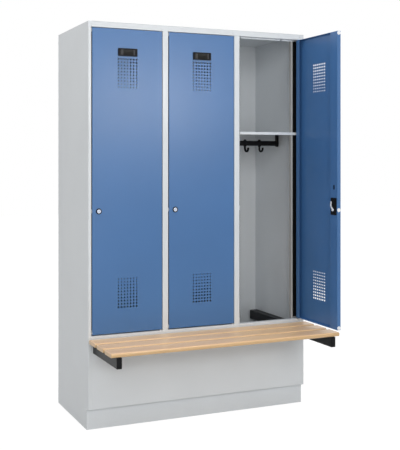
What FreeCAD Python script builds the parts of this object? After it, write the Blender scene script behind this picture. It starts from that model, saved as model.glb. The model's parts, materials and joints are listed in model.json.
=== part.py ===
import FreeCAD, Part
import math
import os

V = FreeCAD.Vector
UP = V(0, 0, 1)
ACROSS = V(1, 0, 0)
BACKWARD = V(0, 1, 0)

# Sheet steel locker of three bays with a slatted bench. Lengths are millimetres, angles degrees.
# X runs to the right, Y to the back and Z up; the origin is on the floor, at the middle of the carcass.

# Carcass
bay_names = ["left", "middle", "right"]
open_bay = "right"
bay_width = 400.0
unit_depth = 500.0
unit_height = 1950.0
sheet = 1.0
bend_radius = 0.6
rear_flange = 15.0
wall_hole_radius = 4.0
wall_hole_spacing = 800.0
wall_hole_drop = 70.0

# Plinth
plinth_height = 100.0
plinth_setback = 25.0
plinth_flange = 30.0

# Front frame
stile_half_width = 15.0
top_rail_height = 28.0
bottom_rail_height = 31.0
rebate_depth = 24.0
hinge_return_depth = 20.0
lock_lip_width = 7.0
stop_flange_height = 7.0
stop_flange_lock_gap = 20.0
stop_flange_hinge_gap = 33.0
stop_notch_width = 9.0
stop_notch_inset = 115.0
relief_setback = 3.0
relief_pivot_gap = 3.0
partition_rail_gap = 1.0
rivet_hole_radius = 2.0
rivet_hole_rise = 14.0

# Stop on the hinge side, with the pocket that the door's hinge edge swings into
hinge_pocket_width = 37.0
hinge_pocket_depth = 19.0
hinge_stop_lip = 6.0
hinge_stop_setback = 28.0
hinge_stop_foot = 15.0

# Door
door_gap = 3.0
door_lock_gap = 4.5
door_sill_gap = 6.0
door_thickness = 20.0
door_sheet = 1.0
door_hinge_lip = 30.0
open_angle = 90.0
lock_channel_width = 58.0
lock_channel_foot = 15.0

# Pivot pins of the doors
pivot_inset = 6.0
pivot_setback = 5.0
pivot_radius = 2.5
pivot_clearance = 0.05
pivot_head_radius = 3.3
pivot_head_height = 3.0
pivot_reach = 4.0

# Vent holes in the door
vent_columns = 7
vent_rows = 10
vent_pitch_across = 15.7
vent_pitch_up = 15.1
vent_large_radius = 4.7
vent_small_radius = 3.0
vent_top_inset = 144.5
vent_bottom_inset = 123.5

# Label holder on the door
label_width = 100.0
label_height = 38.0
label_depth = 4.0
label_corner_radius = 3.0
label_top_inset = 92.0
label_window_width = 76.0
label_window_height = 26.0
label_window_depth = 2.0

# Lock: rosette outside, case in the lock channel, and a turning plug with its bent cam
lock_inset = 33.0
lock_rise = 587.0
rosette_radius = 14.0
rosette_depth = 3.0
plug_head_radius = 9.5
plug_head_depth = 5.0
plug_radius = 7.0
plug_fit = 0.05
plug_hole_clearance = 0.8
key_slot_width = 2.0
key_slot_length = 10.0
key_slot_depth = 3.0
case_inset = 6.0
case_width = 47.0
case_height = 84.0
case_drop = 25.0
case_cover_depth = 2.0
case_corner_radius = 4.0
case_rim = 3.0
case_fit = 0.1
cam_gap = 0.3
cam_thickness = 2.0
cam_hub_radius = 9.0
cam_arm_radius = 5.0
cam_knee_across = 15.0
cam_knee_rise = 18.0
cam_tip_across = 14.0
cam_tip_rise = 37.0
cam_nut_radius = 6.0
cam_nut_height = 3.0
channel_slot_width = 12.0
channel_slot_height = 24.0
channel_slot_rise = 111.0
channel_slot_inset = 28.0
channel_slot_round_share = 0.96

# Bolts of the lock: three nylon bolts on one bar, which shoot out of the door's free edge
bolt_radius = 7.6
bolt_setback = 11.0
bolt_proud = 1.0
bolt_end_inset = 10.0
bolt_edge_gap = 0.4
bolt_strike_gap = 0.9
bolt_bar_inset = 12.0
bolt_bar_width = 10.0
bolt_bar_thickness = 3.0
bolt_bar_end_gap = 1.0
bolt_bar_case_gap = 2.0

# Hat shelf
shelf_height = 1434.0
shelf_lip = 14.0
shelf_clearance = 0.5
shelf_edge_radius = 0.6

# Coat rail: a bar between two brackets under the hat shelf
rail_setback = 240.0
rail_depth = 14.0
rail_height = 27.0
rail_drop = 41.0
rail_edge_radius = 4.0
bracket_width = 8.0
bracket_depth = 24.0
bracket_drop = 5.0
bracket_corner_radius = 8.0
bracket_wall_gap = 10.0

# Hooks that slide on the coat rail
hooks_per_bay = 3
hook_pitch = 90.0
hook_row_shift = 18.0
hook_width = 11.0
hook_wall = 4.0
hook_rail_gap = 0.3
hook_knob_height = 4.0
hook_knob_width = 8.0
hook_bend_radius = 16.0
hook_thickness = 6.0
hook_tip_rise = 4.0
hook_neck = 9.7
hook_round_share = 0.45

# Bench slats, counted from the front
slat_names = ["front", "middle", "rear"]
bench_reach = 316.0
bench_height = 437.0
slat_width = 90.0
slat_gap = 18.0
slat_thickness = 20.0
slat_edge_radius = 8.0
slat_end_radius = 2.0

# Bench arms: rectangular tubes that run through the front, just below the bottom rail, with spacer tubes
arm_width = 25.0
arm_height = 50.0
arm_wall = 2.0
arm_corner_radius = 3.0
arm_side_inset = 25.0
arm_inner_length = 478.0
arm_rail_gap = 2.0
arm_cutout_gap = 1.0
spacer_setback = 40.0
cap_thickness = 3.0
cap_plug_length = 10.0
cap_fit = 0.1

# Screws that hold the slats on the arms, from below
screw_radius = 2.75
screw_head_radius = 5.5
screw_head_height = 3.0
screw_bite = 13.0
screw_hole_gap = 0.5
screw_spacing = 50.0

# Places that follow from the sizes above
bay_count = len(bay_names)
last_bay = bay_count - 1
unit_width = bay_count * bay_width
x_left = -unit_width / 2
x_right = unit_width / 2
front = -unit_depth / 2
back = unit_depth / 2
roof = unit_height - sheet
back_wall = back - 2 * sheet
arm_top = bench_height - slat_thickness
arm_bottom = arm_top - arm_height
arm_front = front - bench_reach
arm_back = front + arm_inner_length
rail_bottom = arm_top + arm_rail_gap
sill_height = rail_bottom + bottom_rail_height
opening_top = unit_height - top_rail_height
stop_face = front + rebate_depth
behind_stop = stop_face + sheet
door_bottom = sill_height + door_sill_gap
door_top = opening_top - door_gap
door_back = front + door_thickness
skin_back = front + door_sheet
lock_height = door_bottom + lock_rise
bolt_depth = front + bolt_setback
bolt_levels = (door_bottom + bolt_end_inset, lock_height, door_top - bolt_end_inset)


def bay_left(bay):
    """Middle line of the wall on the bay's left side."""
    return x_left + bay * bay_width


def bay_middle(bay):
    return bay_left(bay) + bay_width / 2


def opening_left(bay):
    return bay_left(bay) + stile_half_width


def opening_right(bay):
    return bay_left(bay + 1) - stile_half_width


def wall_left(bay):
    """Inner face of the wall on the bay's left side."""
    if bay == 0:
        return x_left + sheet
    return bay_left(bay) + sheet / 2


def wall_right(bay):
    """Inner face of the wall on the bay's right side."""
    if bay == last_bay:
        return x_right - sheet
    return bay_left(bay + 1) - sheet / 2


def pivot(bay):
    """Plan position of the door's pivot line."""
    return opening_right(bay) - door_gap - pivot_inset, front + pivot_setback


def box(x0, x1, y0, y1, z0, z1):
    """Block between two corners."""
    return Part.makeBox(x1 - x0, y1 - y0, z1 - z0, V(x0, y0, z0))


def disc(radius, length, start, direction):
    """Cylinder of one radius from its start along a direction."""
    return Part.makeCylinder(radius, length, start, direction)


def rectangle(a0, a1, b0, b1):
    """Corners of a flat rectangle."""
    return [V(a0, b0, 0), V(a1, b0, 0), V(a1, b1, 0), V(a0, b1, 0)]


def rounded_wire(points, radii, place):
    """Closed wire through flat points, each corner rounded by its own radius, put in space by place."""
    spans = []
    count = len(points)
    for i in range(count):
        here = points[i]
        if radii[i] == 0:
            spans.append((here, here, here))
            continue
        before = (here - points[i - 1]).normalize()
        after = (points[(i + 1) % count] - here).normalize()
        half_turn = before.getAngle(after) / 2
        setback = radii[i] * math.tan(half_turn)
        centre = here + (after - before).normalize() * (radii[i] / math.cos(half_turn))
        middle = centre + (here - centre).normalize() * radii[i]
        spans.append((here - before * setback, middle, here + after * setback))
    edges = []
    for i in range(count):
        enter, middle, leave = spans[i]
        if radii[i] > 0:
            edges.append(Part.Arc(place(enter), place(middle), place(leave)).toShape())
        edges.append(Part.LineSegment(place(leave), place(spans[(i + 1) % count][0])).toShape())
    return Part.Wire(edges)


def upright(points, radii, z0, z1):
    """Prism of a plan outline from one height to another."""
    wire = rounded_wire(points, radii, lambda p: V(p.x, p.y, z0))
    return Part.Face(wire).extrude(UP * (z1 - z0))


def lengthwise(points, radii, x0, x1):
    """Prism of an outline in depth and height, from one side to another."""
    wire = rounded_wire(points, radii, lambda p: V(x0, p.x, p.y))
    return Part.Face(wire).extrude(ACROSS * (x1 - x0))


def facing(points, radii, y0, y1):
    """Prism of an outline seen from the front, from one depth to another."""
    wire = rounded_wire(points, radii, lambda p: V(p.x, y0, p.y))
    return Part.Face(wire).extrude(BACKWARD * (y1 - y0))


def rounded_plate(x0, x1, y0, y1, z0, z1, radius):
    """Plate seen from the front with four rounded corners."""
    corners = rectangle(x0, x1, z0, z1)
    return facing(corners, [radius] * len(corners), y0, y1)


def folded_sheet(path, thickness):
    """Outline and corner radii of a bent sheet: one face follows path, the other lies to its left."""
    steps = [(path[i + 1] - path[i]).normalize() for i in range(len(path) - 1)]
    normals = [V(-step.y, step.x, 0) for step in steps]
    far = [path[0] + normals[0] * thickness]
    near_radii = [0]
    far_radii = [0]
    for i in range(1, len(steps)):
        mitre = (normals[i - 1] + normals[i]) * (thickness / (1 + normals[i - 1].dot(normals[i])))
        far.append(path[i] + mitre)
        left_turn = steps[i - 1].cross(steps[i]).z > 0
        near_radii.append(bend_radius + thickness if left_turn else bend_radius)
        far_radii.append(bend_radius if left_turn else bend_radius + thickness)
    far.append(path[-1] + normals[-1] * thickness)
    near_radii.append(0)
    far_radii.append(0)
    return path + far[::-1], near_radii + far_radii[::-1]


def group(solids):
    return Part.makeCompound(solids)


def union(shapes):
    return shapes[0].multiFuse(shapes[1:]).removeSplitter()


# Plinth: a front board, a rear board, two ends and a middle brace, all folded channels
def plinth_frame():
    face = front + plinth_setback
    inner_front = face + plinth_flange
    inner_back = back - plinth_flange
    half_brace = plinth_flange / 2
    levels = (0, plinth_height - sheet)
    board_x = (x_left + sheet, x_right - sheet)
    flange_x = (x_left + plinth_flange, x_right - plinth_flange)
    front_board = [box(*board_x, face, face + sheet, 0, plinth_height)]
    rear_board = [box(*board_x, back - sheet, back, 0, plinth_height)]
    left_end = [box(x_left, x_left + sheet, face, back, 0, plinth_height)]
    brace = [box(-half_brace, sheet - half_brace, inner_front, inner_back, 0, plinth_height)]
    for z in levels:
        front_board.append(box(*flange_x, face, inner_front, z, z + sheet))
        rear_board.append(box(*flange_x, inner_back, back, z, z + sheet))
        left_end.append(box(x_left, x_left + plinth_flange, face + sheet, back - sheet, z, z + sheet))
        brace.append(box(-half_brace, half_brace, inner_front, inner_back, z, z + sheet))
    left_end = union(left_end)
    right_end = left_end.mirror(V(0, 0, 0), ACROSS)
    return group([union(front_board), union(rear_board), left_end, right_end, union(brace)])


# Carcass panels
def strike_holes(bay):
    """Drills for the lock's bolts, through the frame on the lock side of a door opening."""
    start = opening_left(bay) - sheet - bend_radius
    length = sheet + 2 * bend_radius
    radius = bolt_radius + bolt_strike_gap
    return [disc(radius, length, V(start, bolt_depth, z), ACROSS) for z in bolt_levels]


def side_panel_left():
    """Side with its front stile, which ends beside the door opening in a lip that the door shuts on."""
    edge = opening_left(0)
    lip_end = edge + lock_lip_width
    path = [
        V(x_left + rear_flange, back, 0),
        V(x_left, back, 0),
        V(x_left, front, 0),
        V(edge, front, 0),
        V(edge, stop_face, 0),
        V(lip_end, stop_face, 0),
    ]
    panel = upright(*folded_sheet(path, sheet), plinth_height, roof)
    lip_ends = [
        box(edge, lip_end, stop_face - bend_radius, behind_stop, opening_top, roof),
        box(edge, lip_end, stop_face - bend_radius, behind_stop, plinth_height, sill_height),
    ]
    return panel.cut(lip_ends + strike_holes(0))


def side_panel_right():
    edge = opening_right(last_bay)
    path = [
        V(edge, front + hinge_return_depth, 0),
        V(edge, front, 0),
        V(x_right, front, 0),
        V(x_right, back, 0),
        V(x_right - rear_flange, back, 0),
    ]
    return upright(*folded_sheet(path, sheet), plinth_height, roof)


def back_panel():
    """Back sheet in front of the sides' rear flanges, clear of their bends."""
    inset = sheet + bend_radius
    panel = box(x_left + inset, x_right - inset, back_wall, back - sheet, plinth_height, roof)
    z = roof - wall_hole_drop
    x = wall_hole_spacing / 2
    return panel.cut([disc(wall_hole_radius, sheet, V(side * x, back_wall, z), BACKWARD) for side in (-1, 1)])


def top_panel():
    return box(x_left, x_right, front, back, roof, unit_height)


def bottom_panel():
    levels = (plinth_height, plinth_height + sheet)
    return box(x_left + sheet, x_right - sheet, behind_stop, back_wall, *levels)


def partition(bay):
    """Wall on the bay's right side; its front edge reaches into the post, the rails and the lower panel."""
    middle = bay_left(bay + 1)
    foot = plinth_height + sheet
    post_face = front + sheet
    inset = sheet + partition_rail_gap
    rail_face = front + inset
    outline = [
        V(rail_face, foot, 0),
        V(back_wall, foot, 0),
        V(back_wall, roof, 0),
        V(behind_stop, roof, 0),
        V(behind_stop, roof - inset, 0),
        V(rail_face, roof - inset, 0),
        V(rail_face, opening_top + inset, 0),
        V(behind_stop, opening_top + inset, 0),
        V(behind_stop, opening_top, 0),
        V(post_face, opening_top, 0),
        V(post_face, sill_height, 0),
        V(behind_stop, sill_height, 0),
        V(behind_stop, sill_height - inset, 0),
        V(rail_face, sill_height - inset, 0),
        V(rail_face, rail_bottom + inset, 0),
        V(behind_stop, rail_bottom + inset, 0),
        V(behind_stop, rail_bottom - partition_rail_gap, 0),
        V(rail_face, rail_bottom - partition_rail_gap, 0),
    ]
    return lengthwise(outline, [0] * len(outline), middle - sheet / 2, middle + sheet / 2)


# Front frame
def centre_post(bay):
    """Post between this bay and the next one."""
    left = opening_right(bay)
    right = opening_left(bay + 1)
    path = [
        V(left, front + hinge_return_depth, 0),
        V(left, front, 0),
        V(right, front, 0),
        V(right, stop_face, 0),
        V(right + lock_lip_width, stop_face, 0),
    ]
    post = upright(*folded_sheet(path, sheet), sill_height, opening_top)
    return post.cut(strike_holes(bay + 1))


def stop_gaps():
    """Blocks that take the top rail's stop flange away beside the posts, and its notch in each bay."""
    y0, y1 = stop_face - bend_radius, behind_stop
    z0, z1 = opening_top - stop_flange_height, opening_top
    blocks = []
    for bay in range(bay_count):
        left, right = opening_left(bay), opening_right(bay)
        notch = right - stop_notch_inset
        blocks.append(box(notch, notch + stop_notch_width, y0, y1, z0, z1))
        blocks.append(box(left, left + stop_flange_lock_gap, y0, y1, z0, z1))
        blocks.append(box(right - stop_flange_hinge_gap, right, y0, y1, z0, z1))
        if bay < last_bay:
            blocks.append(box(right, opening_left(bay + 1), y0, y1, z0, z1))
    return blocks


def corner_reliefs():
    """Blocks that open the top rail's return at both upper corners of each door."""
    y0, y1 = front + relief_setback, behind_stop
    z0, z1 = opening_top, opening_top + sheet
    blocks = []
    for bay in range(bay_count):
        left, right = opening_left(bay), opening_right(bay)
        relief_end = pivot(bay)[0] - pivot_head_radius - relief_pivot_gap
        blocks.append(box(left, left + stop_flange_lock_gap, y0, y1, z0, z1))
        blocks.append(box(right - stop_flange_hinge_gap, relief_end, y0, y1, z0, z1))
    return blocks


def pivot_holes(z):
    """Drills for the door pins, through a rail's return that starts at a height."""
    radius = pivot_radius + pivot_clearance
    return [disc(radius, sheet, V(*pivot(bay), z), UP) for bay in range(bay_count)]


def rivet_holes():
    """Small holes in the top rail's face, above each pivot."""
    z = opening_top + rivet_hole_rise
    places = [V(pivot(bay)[0], front, z) for bay in range(bay_count)]
    return [disc(rivet_hole_radius, sheet, place, BACKWARD) for place in places]


def top_rail():
    path = [
        V(stop_face, roof, 0),
        V(front, roof, 0),
        V(front, opening_top, 0),
        V(stop_face, opening_top, 0),
        V(stop_face, opening_top - stop_flange_height, 0),
    ]
    rail = lengthwise(*folded_sheet(path, sheet), opening_left(0), opening_right(last_bay))
    gaps = stop_gaps() + corner_reliefs()
    return rail.cut(gaps + pivot_holes(opening_top) + rivet_holes())


def bottom_rail():
    path = [
        V(stop_face, sill_height, 0),
        V(front, sill_height, 0),
        V(front, rail_bottom, 0),
        V(stop_face, rail_bottom, 0),
    ]
    rail = lengthwise(*folded_sheet(path, sheet), opening_left(0), opening_right(last_bay))
    return rail.cut(pivot_holes(sill_height - sheet))


def hinge_pins():
    """Two pins for each door: the upper hangs in its rail by a head, the lower has a collar for the door."""
    top_start = door_top - door_sheet - pivot_reach
    top_head = opening_top + sheet
    low_start = sill_height - sheet - pivot_reach
    low_end = door_bottom + door_sheet + pivot_reach
    pins = []
    for bay in range(bay_count):
        x, y = pivot(bay)
        top_pin = disc(pivot_radius, top_head - top_start, V(x, y, top_start), UP)
        head = disc(pivot_head_radius, pivot_head_height, V(x, y, top_head), UP)
        low_pin = disc(pivot_radius, low_end - low_start, V(x, y, low_start), UP)
        collar = disc(pivot_head_radius, door_sill_gap, V(x, y, sill_height), UP)
        pins.append(union([top_pin, head]))
        pins.append(union([low_pin, collar]))
    return group(pins)


def arm_left(side):
    """Left face of the bench arm on the left (-1) or right (1) side."""
    if side < 0:
        return x_left + arm_side_inset
    return x_right - arm_side_inset - arm_width


def lower_front_panel():
    """Apron under the bottom rail, folded back at its foot and cut out for the bench arms."""
    path = [
        V(front, rail_bottom, 0),
        V(front, plinth_height, 0),
        V(behind_stop, plinth_height, 0),
    ]
    panel = lengthwise(*folded_sheet(path, sheet), opening_left(0), opening_right(last_bay))
    low = arm_bottom - arm_cutout_gap
    cutouts = []
    for side in (-1, 1):
        x0 = arm_left(side) - arm_cutout_gap
        x1 = arm_left(side) + arm_width + arm_cutout_gap
        cutouts.append(box(x0, x1, front, front + sheet, low, rail_bottom))
    return panel.cut(cutouts)


def hinge_stop_places(bay):
    """Right face of the stop's leg, back face of its lip and front face of its web."""
    leg = opening_right(bay) - hinge_pocket_width - hinge_stop_lip
    lip = front + hinge_stop_setback
    return leg, lip, lip + hinge_pocket_depth


def hinge_stop(bay):
    leg, lip, web = hinge_stop_places(bay)
    wall = wall_right(bay)
    path = [
        V(leg + hinge_stop_lip, lip, 0),
        V(leg, lip, 0),
        V(leg, web, 0),
        V(wall, web, 0),
        V(wall, web + hinge_stop_foot, 0),
    ]
    return upright(*folded_sheet(path, sheet), sill_height, opening_top)


# Bay fittings
def hat_shelf(bay):
    """Tray turned upside down, cut out round the stop on the hinge side behind its front lip."""
    x0, x1 = wall_left(bay), wall_right(bay)
    y0 = behind_stop + shelf_clearance
    z0 = shelf_height - shelf_lip
    tray = box(x0, x1, y0, back_wall, z0, shelf_height)
    top_edges = [edge for edge in tray.Edges if edge.BoundBox.ZMin > shelf_height - sheet]
    nose = [edge for edge in top_edges if edge.BoundBox.YMax < y0 + sheet]
    tray = tray.makeFillet(shelf_edge_radius, nose)
    hollow = box(x0 + sheet, x1 - sheet, y0 + sheet, back_wall - sheet, z0, shelf_height - sheet)
    leg, lip, web = hinge_stop_places(bay)
    stop_x = leg - sheet - shelf_clearance
    stop_y0 = lip - sheet - shelf_clearance
    stop_y1 = web + hinge_stop_foot + shelf_clearance
    stop_room = box(stop_x, x1, stop_y0, stop_y1, z0, shelf_height)
    return tray.cut([hollow, stop_room])


def coat_rail_levels():
    """Bottom and top of the coat rail's bar."""
    top = shelf_height - rail_drop
    return top - rail_height, top


def coat_rail_depths(half_depth):
    """Front and back of a piece that is centred on the coat rail."""
    middle = front + rail_setback
    return middle - half_depth, middle + half_depth


def coat_rail(bay):
    """Flat bar with rounded edges between two brackets that hang under the hat shelf."""
    low, high = coat_rail_levels()
    reach = sheet + bracket_wall_gap
    left, right = wall_left(bay) + reach, wall_right(bay) - reach
    bar_left, bar_right = left + bracket_width, right - bracket_width
    bar = rectangle(*coat_rail_depths(rail_depth / 2), low, high)
    bracket = rectangle(*coat_rail_depths(bracket_depth / 2), low - bracket_drop, shelf_height - sheet)
    bracket_radii = [bracket_corner_radius, bracket_corner_radius, 0, 0]
    return group(
        [
            lengthwise(bar, [rail_edge_radius] * len(bar), bar_left, bar_right),
            lengthwise(bracket, bracket_radii, left, bar_left),
            lengthwise(bracket, bracket_radii, bar_right, right),
        ]
    )


def coat_hook(bay, number):
    """Loop round the rail with a knob on top and, below it, a neck and a bend that opens upwards."""
    row_middle = bay_middle(bay) - hook_row_shift
    middle = row_middle + (number - (hooks_per_bay - 1) / 2) * hook_pitch
    x0, x1 = middle - hook_width / 2, middle + hook_width / 2
    low, high = coat_rail_levels()
    room_depths = coat_rail_depths(rail_depth / 2 + hook_rail_gap)
    loop_depths = coat_rail_depths(rail_depth / 2 + hook_rail_gap + hook_wall)
    room_low, room_high = low - hook_rail_gap, high + hook_rail_gap
    loop_low, loop_high = room_low - hook_wall, room_high + hook_wall
    room = rectangle(*room_depths, room_low, room_high)
    loop = rectangle(*loop_depths, loop_low, loop_high)
    knob = rectangle(*coat_rail_depths(hook_knob_width / 2), room_high, loop_high + hook_knob_height)
    knob_radius = hook_knob_height * hook_round_share
    neck_front, neck_back = coat_rail_depths(hook_thickness / 2)
    bend_y = neck_front - hook_bend_radius
    bend_z = loop_low - hook_neck
    outer = hook_bend_radius + hook_thickness
    tip_front = bend_y - outer
    tip = rectangle(tip_front, tip_front + hook_thickness, bend_z, bend_z + hook_tip_rise)
    tip_radius = hook_thickness * hook_round_share
    ring = disc(outer, hook_width, V(x0, bend_y, bend_z), ACROSS)
    ring = ring.cut(disc(hook_bend_radius, hook_width, V(x0, bend_y, bend_z), ACROSS))
    lower_half = box(x0, x1, tip_front, neck_back, bend_z - outer, bend_z)
    hook = union(
        [
            lengthwise(loop, [rail_edge_radius + hook_wall] * len(loop), x0, x1),
            lengthwise(knob, [0, 0, knob_radius, knob_radius], x0, x1),
            box(x0, x1, neck_front, neck_back, bend_z, room_low),
            ring.common(lower_half),
            lengthwise(tip, [0, 0, tip_radius, tip_radius], x0, x1),
        ]
    )
    return hook.cut(lengthwise(room, [rail_edge_radius] * len(room), x0, x1))


# Door of the first bay, closed; the other doors are copies of it
door_left = opening_left(0) + door_lock_gap
door_right = opening_right(0) - door_gap
lock_x = door_left + lock_inset
case_back = door_back + case_cover_depth


def vent_holes():
    """Drills for both vent fields; the holes grow towards the door's top and towards its bottom."""
    drills = []
    for row in range(vent_rows):
        share = row / max(1, vent_rows - 1)
        radius = vent_large_radius + (vent_small_radius - vent_large_radius) * share
        levels = (
            door_top - vent_top_inset - row * vent_pitch_up,
            door_bottom + vent_bottom_inset + row * vent_pitch_up,
        )
        for column in range(vent_columns):
            x = bay_middle(0) + (column - (vent_columns - 1) / 2) * vent_pitch_across
            drills += [disc(radius, door_sheet, V(x, front, z), BACKWARD) for z in levels]
    return drills


def plug_drill(length):
    """Drill for the lock's plug, from the door's outside."""
    return disc(plug_radius + plug_hole_clearance, length, V(lock_x, front, lock_height), BACKWARD)


def door_panel():
    """Sheet folded into a tray: skin, two long edges, a lip on the hinge side, flanges above and below."""
    path = [
        V(door_left, door_back, 0),
        V(door_left, front, 0),
        V(door_right, front, 0),
        V(door_right, door_back, 0),
        V(door_right - door_hinge_lip, door_back, 0),
    ]
    shell = upright(*folded_sheet(path, door_sheet), door_bottom, door_top)
    inner = (door_left + door_sheet, door_right - door_sheet, skin_back, door_back - door_sheet)
    flanges = [box(*inner, z, z + door_sheet) for z in (door_bottom, door_top - door_sheet)]
    panel = union([shell] + flanges)
    pin_radius = pivot_radius + pivot_clearance
    pin_drill = disc(pin_radius, door_top - door_bottom, V(*pivot(0), door_bottom), UP)
    edge_radius = bolt_radius + bolt_edge_gap
    edge_places = [V(door_left, bolt_depth, z) for z in bolt_levels]
    edge_drills = [disc(edge_radius, door_sheet, place, ACROSS) for place in edge_places]
    return panel.cut([pin_drill, plug_drill(door_sheet)] + edge_drills + vent_holes())


def case_places():
    """Sides, foot and head of the block of the lock case that sits in the lock channel."""
    x0 = door_left + bolt_bar_inset + bolt_bar_width + bolt_bar_case_gap
    x1 = door_left + case_inset + case_width - case_rim
    z0 = lock_height - case_drop + case_rim
    z1 = lock_height - case_drop + case_height - case_rim
    return x0, x1, z0, z1


def lock_channel():
    """Stiffener behind the free edge: its web closes the door's inside and its foot lies on the skin."""
    side = door_left + lock_channel_width
    web = door_back - door_sheet
    path = [
        V(door_left + door_sheet, web, 0),
        V(side, web, 0),
        V(side, skin_back, 0),
        V(side + lock_channel_foot, skin_back, 0),
    ]
    channel = upright(*folded_sheet(path, door_sheet), door_bottom + door_sheet, door_top - door_sheet)
    x0, x1, z0, z1 = case_places()
    window = box(x0 - case_fit, x1 + case_fit, web, door_back, z0 - case_fit, z1 + case_fit)
    slot_x = door_left + channel_slot_inset
    slot_z = lock_height + channel_slot_rise
    half_width = channel_slot_width / 2
    half_height = channel_slot_height / 2
    slot = rounded_plate(
        slot_x - half_width,
        slot_x + half_width,
        web,
        door_back,
        slot_z - half_height,
        slot_z + half_height,
        half_width * channel_slot_round_share,
    )
    return channel.cut([window, slot])


def label_holder():
    """Plate with rounded corners and a recessed window for a card."""
    middle = bay_middle(0)
    top = door_top - label_top_inset
    face = front - label_depth
    half_width = label_width / 2
    half_window = label_window_width / 2
    rim = (label_height - label_window_height) / 2
    plate = rounded_plate(
        middle - half_width,
        middle + half_width,
        face,
        front,
        top - label_height,
        top,
        label_corner_radius,
    )
    window = box(
        middle - half_window,
        middle + half_window,
        face,
        face + label_window_depth,
        top - label_height + rim,
        top - rim,
    )
    return plate.cut(window)


def lock_case():
    """Case in the lock channel with its cover and the plug's bore, and the rosette outside the door."""
    x0 = door_left + case_inset
    z0 = lock_height - case_drop
    cover = rounded_plate(
        x0, x0 + case_width, door_back, case_back, z0, z0 + case_height, case_corner_radius
    )
    block_x0, block_x1, block_z0, block_z1 = case_places()
    block = box(block_x0, block_x1, skin_back, door_back, block_z0, block_z1)
    bore_start = V(lock_x, skin_back, lock_height)
    bore = disc(plug_radius + plug_fit, case_back - skin_back, bore_start, BACKWARD)
    case = union([cover, block]).cut(bore)
    ring_start = V(lock_x, front - rosette_depth, lock_height)
    rosette = disc(rosette_radius, rosette_depth, ring_start, BACKWARD)
    rosette = rosette.cut(disc(plug_head_radius + plug_fit, rosette_depth, ring_start, BACKWARD))
    return group([case, rosette])


def link(start, end, radius, y0, y1):
    """Flat bar with round ends between two points seen from the front."""
    along = end - start
    aside = V(-along.y, along.x, 0).normalize() * radius
    corners = [start - aside, end - aside, end + aside, start + aside]
    bar = facing(corners, [0] * len(corners), y0, y1)
    return union([bar] + [disc(radius, y1 - y0, V(p.x, y0, p.y), BACKWARD) for p in (start, end)])


def lock_plug():
    """Turning plug: head with its key slot outside, shaft through the door, bent cam and nut inside."""
    x, z = lock_x, lock_height
    face = front - plug_head_depth
    cam_start = case_back + cam_gap
    cam_end = cam_start + cam_thickness
    axis = V(x, z, 0)
    knee = V(x + cam_knee_across, z + cam_knee_rise, 0)
    tip = V(x + cam_tip_across, z + cam_tip_rise, 0)
    plug = union(
        [
            disc(plug_head_radius, plug_head_depth, V(x, face, z), BACKWARD),
            disc(plug_radius, cam_end - front, V(x, front, z), BACKWARD),
            disc(cam_hub_radius, cam_thickness, V(x, cam_start, z), BACKWARD),
            disc(cam_nut_radius, cam_nut_height, V(x, cam_end, z), BACKWARD),
            link(axis, knee, cam_arm_radius, cam_start, cam_end),
            link(knee, tip, cam_arm_radius, cam_start, cam_end),
        ]
    )
    half_width = key_slot_width / 2
    half_length = key_slot_length / 2
    key_slot = box(
        x - half_width, x + half_width, face, face + key_slot_depth, z - half_length, z + half_length
    )
    return plug.cut(key_slot)


def bolt_bar():
    """Upright bar in the lock channel that carries the three bolts."""
    x0 = door_left + bolt_bar_inset
    half = bolt_bar_thickness / 2
    end = door_sheet + bolt_bar_end_gap
    depths = (bolt_depth - half, bolt_depth + half)
    return box(x0, x0 + bolt_bar_width, *depths, door_bottom + end, door_top - end)


def lock_bolts():
    """Round bolts in the door's free edge, each slotted at its tail for the bar."""
    start = door_left - bolt_proud
    length = bolt_proud + bolt_bar_inset + bolt_bar_width
    bar = bolt_bar()
    places = [V(start, bolt_depth, z) for z in bolt_levels]
    return group([disc(bolt_radius, length, place, ACROSS).cut(bar) for place in places])


def door_pieces():
    """Every piece of the first bay's door, by the name that its nodes start with."""
    return {
        "door_panel": door_panel(),
        "lock_channel": lock_channel(),
        "label_holder": label_holder(),
        "lock_case": lock_case(),
        "lock_plug": lock_plug(),
        "bolt_bar": bolt_bar(),
        "lock_bolts": lock_bolts(),
    }


def hang(shape, bay):
    """Copy of a door piece in its own bay; the open bay's door is turned about its pivot line."""
    placed = shape.copy()
    placed.translate(ACROSS * (bay * bay_width))
    if bay_names[bay] == open_bay:
        placed.rotate(V(*pivot(bay), 0), UP, open_angle)
    return placed


# Bench
def slat_front(number):
    return arm_front + number * (slat_width + slat_gap)


def screw_places(number, side):
    """Plan positions of the two screws that hold a slat on an arm."""
    x = arm_left(side) + arm_width / 2
    middle = slat_front(number) + slat_width / 2
    return [(x, middle + row * screw_spacing / 2) for row in (-1, 1)]


def all_screw_places():
    places = []
    for number in range(len(slat_names)):
        places += screw_places(number, -1) + screw_places(number, 1)
    return places


def bench_slat(number):
    y0 = slat_front(number)
    outline = rectangle(y0, y0 + slat_width, arm_top, bench_height)
    slat = lengthwise(outline, [slat_edge_radius] * len(outline), x_left, x_right)
    ends = [edge for edge in slat.Edges if edge.BoundBox.XLength < slat_end_radius]
    slat = slat.makeFillet(slat_end_radius, ends)
    places = screw_places(number, -1) + screw_places(number, 1)
    return slat.cut([disc(screw_radius, screw_bite, V(x, y, arm_top), UP) for x, y in places])


def tube(x0, x1, y0, y1):
    """Rectangular tube along the depth at the arms' height, with rounded corners."""
    inner_radius = max(arm_corner_radius - arm_wall, bend_radius)
    shell = rounded_plate(x0, x1, y0, y1, arm_bottom, arm_top, arm_corner_radius)
    inside = (x0 + arm_wall, x1 - arm_wall, y0, y1, arm_bottom + arm_wall, arm_top - arm_wall)
    return shell.cut(rounded_plate(*inside, inner_radius))


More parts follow.
